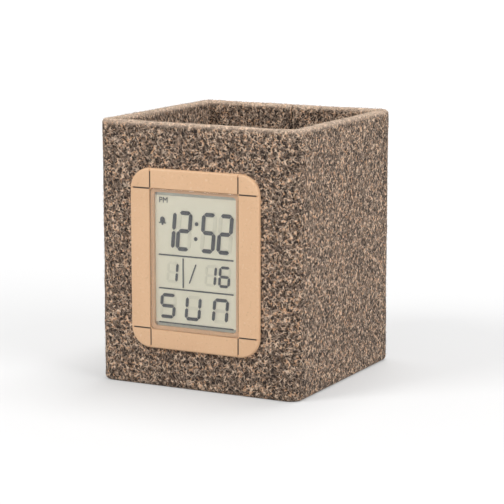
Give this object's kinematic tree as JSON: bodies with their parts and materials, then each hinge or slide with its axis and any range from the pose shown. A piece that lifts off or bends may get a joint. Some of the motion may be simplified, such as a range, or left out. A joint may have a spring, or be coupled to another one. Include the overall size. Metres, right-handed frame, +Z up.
{
  "type": "pen holder clock",
  "caption": "Square felt pen holder with an open top and a clock with a liquid crystal display let into its front wall; buttons and a battery door face into the holder.",
  "frame": {"origin": "on the ground, at the middle of the footprint", "axes": "+Z up, -Y out of the front wall that holds the clock, +X to the right of someone who reads it"},
  "size_m": [0.084, 0.0856, 0.1],
  "materials": {
    "felt": "thick pressed felt of mixed charcoal and pale fibres",
    "greyboard": "raw pressed board",
    "sand_plastic": "fine satin moulding in a pale sand colour",
    "clear_window": "clear and polished",
    "polariser_film": "thin grey green film",
    "display_glass": "polished",
    "dark_plastic": "fine spark texture",
    "dark_rubber": "smooth matt",
    "laminate": "green solder mask",
    "resin": "black resin",
    "steel": "nickel plated",
    "brass": "bright disc",
    "piezo_ceramic": "silvered ceramic"
  },
  "bodies": {
    "holder": {"felt_wrap": "felt", "base_board": "greyboard", "floor_felt": "felt", "bezel": "sand_plastic", "lens": "clear_window", "lcd_front_polariser": "polariser_film", "lcd_glass": "display_glass", "lcd_reflector": "polariser_film", "lcd_frame": "dark_plastic", "zebra_strip_upper": "dark_rubber", "zebra_strip_lower": "dark_rubber", "circuit_board": "laminate", "controller_chip": "resin", "clock_crystal": "steel", "thermistor": "resin", "switch_mode": "resin", "switch_set": "resin", "switch_up": "resin", "switch_down": "resin", "rear_case": "dark_plastic", "buzzer_plate": "brass", "buzzer_ceramic": "piezo_ceramic", "cell_left": "steel", "cell_right": "steel", "contact_negative": "steel", "contact_positive": "steel", "case_screw_1": "steel", "case_screw_2": "steel", "case_screw_3": "steel", "case_screw_4": "steel"},
    "door": {"battery_door": "dark_plastic", "contact_bridge": "steel"},
    "key_mode": {"button_mode": "dark_rubber"},
    "key_set": {"button_set": "dark_rubber"},
    "key_up": {"button_up": "dark_rubber"},
    "key_down": {"button_down": "dark_rubber"}
  },
  "joints": [
    {"name": "door_slide", "type": "slide", "parent": "holder", "child": "door", "axis": [0, 0, -1], "range_m": [0, 0.005]},
    {"name": "mode_press", "type": "slide", "parent": "holder", "child": "key_mode", "axis": [0, -1, 0], "range_m": [0, 0.0008], "stiffness_N_per_m": 800},
    {"name": "set_press", "type": "slide", "parent": "holder", "child": "key_set", "axis": [0, -1, 0], "range_m": [0, 0.0008], "stiffness_N_per_m": 800},
    {"name": "up_press", "type": "slide", "parent": "holder", "child": "key_up", "axis": [0, -1, 0], "range_m": [0, 0.0008], "stiffness_N_per_m": 800},
    {"name": "down_press", "type": "slide", "parent": "holder", "child": "key_down", "axis": [0, -1, 0], "range_m": [0, 0.0008], "stiffness_N_per_m": 800}
  ]
}
